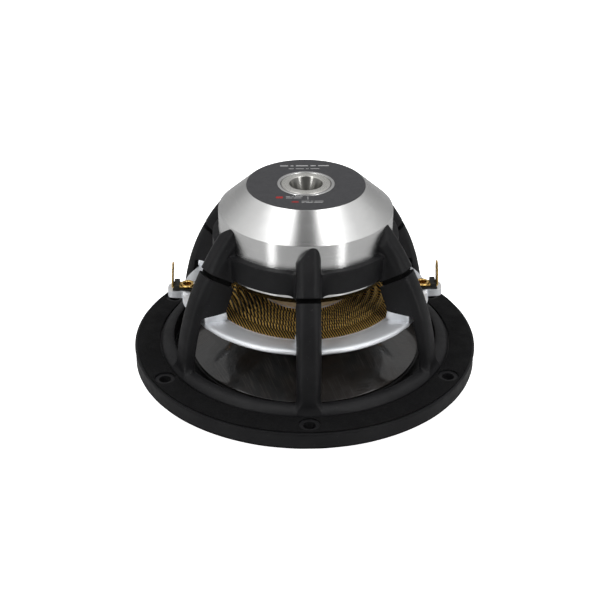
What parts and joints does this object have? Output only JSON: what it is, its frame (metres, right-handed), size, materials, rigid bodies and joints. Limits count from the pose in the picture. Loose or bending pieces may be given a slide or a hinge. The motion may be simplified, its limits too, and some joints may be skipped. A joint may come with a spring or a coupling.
{
  "type": "loudspeaker driver",
  "caption": "Cone loudspeaker driver on its face: round flange, open-legged cast frame, spider, vented motor with turned cup, two tab terminals.",
  "frame": {"origin": "centre of the flange's front face, on the driver's axis", "axes": "+Z along the axis from the front face to the rear of the motor; -Y through one leg and one mounting hole; +X through the right terminal"},
  "size_m": [0.151, 0.151, 0.082],
  "materials": {
    "powder_coat_black": "die-cast alloy with satin black powder coat",
    "gasket_foam": "closed-cell foam, fine grained and matt",
    "moulding_grey": "light silver-grey moulding, satin",
    "screw_black": "black oxide",
    "turned_aluminium": "fine turned and lacquered",
    "yoke_steel": "turned, nickel plated",
    "magnet_nickel": "nickel-plated sintered neodymium",
    "plate_chrome": "bright plated steel",
    "copper": "bright copper",
    "label_film": "anthracite printed film",
    "former_paper": "beige glass-fibre former",
    "collar_paper": "kraft paper wrap",
    "coil_wire": "enamelled wire, layer wound",
    "carbon_cone": "spread-tow carbon fibre under clear resin",
    "spider_cloth": "resin-stiffened cloth with golden yarn",
    "surround_rubber": "black rubber, matt",
    "fibre_black": "black insulating fibre",
    "tab_gold": "gold plated",
    "lead_braid": "braided tinsel wire"
  },
  "bodies": {
    "frame": {"basket": "powder_coat_black", "flange_gasket": "gasket_foam", "motor_cage": "powder_coat_black", "spider_ring": "moulding_grey", "frame_screws": "screw_black", "motor_cup": "turned_aluminium", "pole_yoke": "yoke_steel", "ring_magnet": "magnet_nickel", "top_plate": "plate_chrome", "shorting_sleeve": "copper", "rear_label": "label_film", "spider": "spider_cloth", "surround": "surround_rubber", "terminal_plate_left": "fibre_black", "terminal_plate_right": "fibre_black", "terminal_lug_left": "tab_gold", "terminal_lug_right": "tab_gold", "terminal_rivet_left": "tab_gold", "terminal_rivet_right": "tab_gold", "tinsel_lead_left": "lead_braid", "tinsel_lead_right": "lead_braid"},
    "cone_assembly": {"voice_coil_former": "former_paper", "former_collar": "collar_paper", "voice_coil_winding": "coil_wire", "cone": "carbon_cone", "dust_cap": "carbon_cone"}
  },
  "joints": [
    {"name": "cone_travel", "type": "slide", "parent": "frame", "child": "cone_assembly", "axis": [0, 0, 1], "range_m": [-0.004, 0.004], "stiffness_N_per_m": 1150, "deforming": ["spider", "surround", "tinsel_lead_left", "tinsel_lead_right"]}
  ]
}
